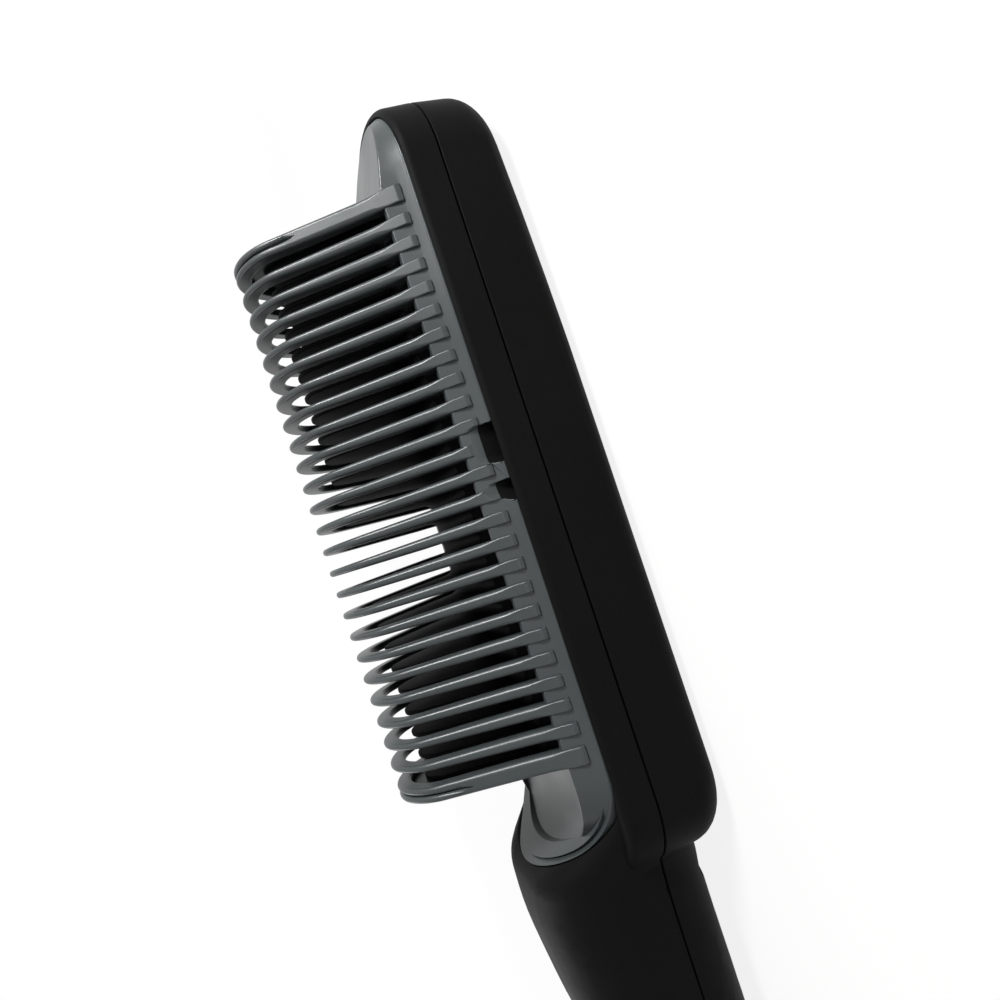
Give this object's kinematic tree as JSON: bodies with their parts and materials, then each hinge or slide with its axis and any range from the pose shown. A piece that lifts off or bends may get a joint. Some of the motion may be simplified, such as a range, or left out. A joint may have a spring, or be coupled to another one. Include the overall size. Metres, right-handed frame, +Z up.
{
  "type": "hair straightening brush",
  "caption": "Heated comb brush with arched guard slats over heating fins, a deep rounded head, a slim handle with buttons and a turning cord inlet.",
  "frame": {"origin": "on the ground under the middle of the part's length and width, with the brush lying on the flat of its back", "axes": "+X along the brush towards the tip of the head, +Y across it, +Z up, the way the slats point"},
  "size_m": [0.29, 0.0464, 0.049],
  "materials": {
    "housing": "satin black",
    "guard": "satin dark bluish grey",
    "coated_heater": "glossy black ceramic coat on aluminium",
    "ceramic": "unglazed white ceramic",
    "mica": "pressed mica",
    "spring_steel": "bright rolled",
    "glass_bead": "clear",
    "fuse_metal": "drawn can",
    "lead_sleeve": "white silicone sleeve",
    "board": "green solder resist",
    "component_black": "moulded epoxy",
    "capacitor_box": "moulded box",
    "varistor_coat": "dipped epoxy",
    "lamp_lens": "diffused white",
    "clear_plastic": "clear acrylic",
    "panel_gloss": "gloss black",
    "button_plastic": "satin dark grey",
    "gland_rubber": "satin black",
    "contact_brass": "bright",
    "screw_steel": "zinc plated"
  },
  "bodies": {
    "brush": {"front_shell": "housing", "rear_shell": "housing", "comb_guard": "guard", "heating_comb": "coated_heater", "heater_strip_left": "ceramic", "heater_strip_right": "ceramic", "insulation_sheet": "mica", "heater_clamp": "spring_steel", "thermistor": "glass_bead", "thermal_fuse": "fuse_metal", "heater_leads": "lead_sleeve", "control_board": "board", "microcontroller": "component_black", "triac": "component_black", "filter_capacitor": "capacitor_box", "varistor": "varistor_coat", "tact_switches": "component_black", "indicator_lamps": "lamp_lens", "light_guide": "clear_plastic", "control_panel": "panel_gloss", "end_cap": "housing", "swivel_socket": "housing", "contact_springs": "contact_brass", "housing_screws": "screw_steel", "guard_screws": "screw_steel"},
    "power_key": {"power_button": "button_plastic"},
    "plus_key": {"plus_button": "button_plastic"},
    "minus_key": {"minus_button": "button_plastic"},
    "inlet": {"swivel_gland": "gland_rubber", "contact_ring": "contact_brass"}
  },
  "joints": [
    {"name": "power_press", "type": "slide", "parent": "brush", "child": "power_key", "axis": [0, 0, -1], "range_m": [0, 0.0006], "stiffness_N_per_m": 1500, "springref_m": -0.0006},
    {"name": "plus_press", "type": "slide", "parent": "brush", "child": "plus_key", "axis": [0, 0, -1], "range_m": [0, 0.0006], "stiffness_N_per_m": 1500, "springref_m": -0.0006},
    {"name": "minus_press", "type": "slide", "parent": "brush", "child": "minus_key", "axis": [0, 0, -1], "range_m": [0, 0.0006], "stiffness_N_per_m": 1500, "springref_m": -0.0006},
    {"name": "gland_swivel", "type": "hinge", "parent": "brush", "child": "inlet", "pos_m": [-0.132, 0, 0.01555], "axis": [1, 0, 0], "continuous": true}
  ]
}
